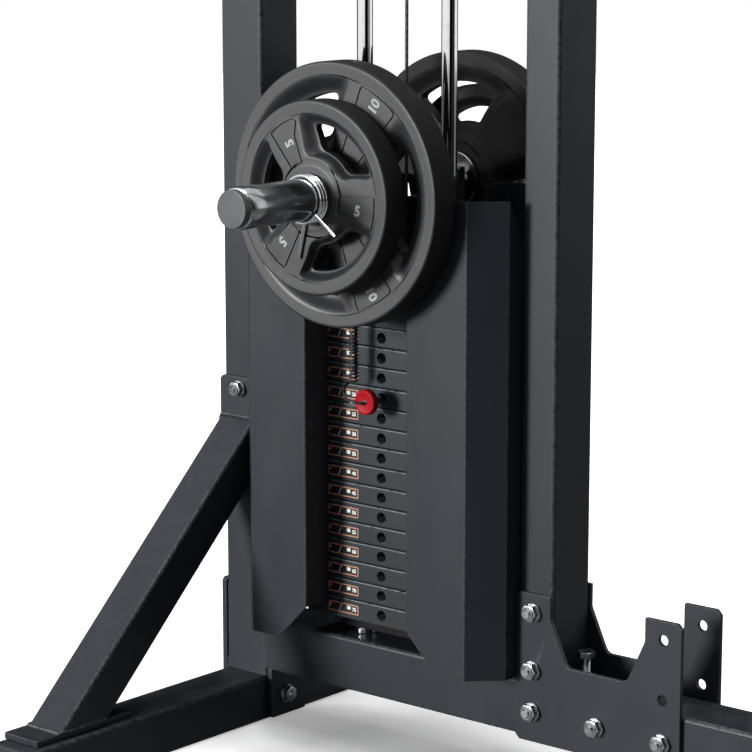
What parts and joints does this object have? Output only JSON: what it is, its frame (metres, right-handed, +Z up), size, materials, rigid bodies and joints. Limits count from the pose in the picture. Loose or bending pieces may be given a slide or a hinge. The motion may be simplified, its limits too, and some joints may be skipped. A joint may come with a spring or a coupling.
{
  "type": "lat pulldown tower",
  "caption": "Cable pulldown tower with a guided selector stack, loading horns with rubber discs, pulleys, pull bar, floor frame and guards.",
  "frame": {"origin": "on the floor, under the middle of the whole machine's footprint", "axes": "+Z up; +X along the base beam from the stack towards the user's side; -Y is the near side, which carries the selector pin"},
  "size_m": [1.1474, 1.2136, 2.1503],
  "materials": {
    "frame_paint": "satin graphite powder coat",
    "shroud_paint": "satin graphite powder coat on folded sheet",
    "chrome": "polished chrome",
    "zinc_plate": "bright zinc",
    "plate_paint": "satin dark grey coat on steel",
    "disc_rubber": "moulded rubber",
    "cord_plastic": "extruded soft plastic",
    "cable_coat": "plastic coat on steel rope",
    "pin_red": "red anodised",
    "pulley_nylon": "moulded nylon"
  },
  "bodies": {
    "tower": {"rear_upright": "frame_paint", "front_upright": "frame_paint", "base_beam": "frame_paint", "rear_foot_rail": "frame_paint", "brace_near": "frame_paint", "brace_far": "frame_paint", "gusset_near": "frame_paint", "gusset_far": "frame_paint", "front_foot_rail": "frame_paint", "top_boom": "frame_paint", "shroud_near_rear": "shroud_paint", "shroud_near_front": "shroud_paint", "shroud_far_rear": "shroud_paint", "shroud_far_front": "shroud_paint", "guide_rod_rear": "chrome", "guide_rod_front": "chrome", "stack_cushion": "disc_rubber", "rear_axle": "zinc_plate", "front_axle": "zinc_plate", "gusset_bolt_1": "zinc_plate", "gusset_bolt_2": "zinc_plate", "gusset_bolt_3": "zinc_plate", "gusset_bolt_4": "zinc_plate", "stop_bolt": "zinc_plate", "cable_rear_run": "cable_coat", "cable_top": "cable_coat", "cable_front_run": "cable_coat", "weight_plate_01": "plate_paint", "weight_plate_02": "plate_paint", "weight_plate_03": "plate_paint", "weight_plate_04": "plate_paint", "weight_plate_05": "plate_paint", "weight_plate_06": "plate_paint", "weight_plate_07": "plate_paint", "weight_plate_08": "plate_paint", "weight_plate_09": "plate_paint", "weight_plate_10": "plate_paint", "weight_plate_11": "plate_paint"},
    "carriage": {"weight_plate_12": "plate_paint", "weight_plate_13": "plate_paint", "weight_plate_14": "plate_paint", "weight_plate_15": "plate_paint", "head_plate": "plate_paint", "selector_stem": "zinc_plate", "horn_yoke": "plate_paint", "horn_near": "chrome", "horn_far": "chrome", "pin_lanyard": "cord_plastic"},
    "pin": {"selector_pin_head": "pin_red", "selector_pin_shank": "zinc_plate"},
    "rear_wheel": {"rear_pulley": "pulley_nylon"},
    "front_wheel": {"front_pulley": "pulley_nylon"},
    "hook": {"bar_swivel": "chrome"},
    "pull_bar": {"lat_bar": "chrome"},
    "near_large": {"large_disc_near": "disc_rubber"},
    "near_small": {"small_disc_near": "disc_rubber"},
    "near_collar": {"collar_near": "zinc_plate"},
    "far_large": {"large_disc_far": "disc_rubber"},
    "far_small": {"small_disc_far": "disc_rubber"},
    "far_collar": {"collar_far": "zinc_plate"}
  },
  "joints": [
    {"name": "stack_lift", "type": "slide", "parent": "tower", "child": "carriage", "axis": [0, 0, 1], "range_m": [0, 1.1], "deforming": ["cable_rear_run"]},
    {"name": "bar_drop", "type": "slide", "parent": "tower", "child": "hook", "axis": [0, 0, -1], "range_m": [0, 1.1], "deforming": ["cable_front_run"]},
    {"name": "bar_turn", "type": "hinge", "parent": "hook", "child": "pull_bar", "pos_m": [0.47365, 0, 1.88], "axis": [0, 0, 1], "range_deg": [-75, 75]},
    {"name": "rear_pulley_spin", "type": "hinge", "parent": "tower", "child": "rear_wheel", "pos_m": [-0.24135, 0, 2.1003], "axis": [0, 1, 0], "continuous": true},
    {"name": "front_pulley_spin", "type": "hinge", "parent": "tower", "child": "front_wheel", "pos_m": [0.42865, 0, 2.1003], "axis": [0, 1, 0], "continuous": true},
    {"name": "pin_pull", "type": "slide", "parent": "carriage", "child": "pin", "axis": [0, -1, 0], "range_m": [0, 0.09], "deforming": ["pin_lanyard"]},
    {"name": "near_large_slide", "type": "slide", "parent": "carriage", "child": "near_large", "axis": [0, -1, 0], "range_m": [0, 0.03]},
    {"name": "near_small_slide", "type": "slide", "parent": "near_large", "child": "near_small", "axis": [0, -1, 0], "range_m": [0, 0.03]},
    {"name": "near_collar_slide", "type": "slide", "parent": "near_small", "child": "near_collar", "axis": [0, -1, 0], "range_m": [0, 0.04]},
    {"name": "far_large_slide", "type": "slide", "parent": "carriage", "child": "far_large", "axis": [0, 1, 0], "range_m": [0, 0.03]},
    {"name": "far_small_slide", "type": "slide", "parent": "far_large", "child": "far_small", "axis": [0, 1, 0], "range_m": [0, 0.03]},
    {"name": "far_collar_slide", "type": "slide", "parent": "far_small", "child": "far_collar", "axis": [0, 1, 0], "range_m": [0, 0.04]}
  ],
  "couplings": [
    {"joint": "bar_drop", "follows": "stack_lift", "ratio": 1},
    {"joint": "rear_pulley_spin", "follows": "stack_lift", "rad_per_m": 22.222},
    {"joint": "front_pulley_spin", "follows": "stack_lift", "rad_per_m": 22.222}
  ]
}
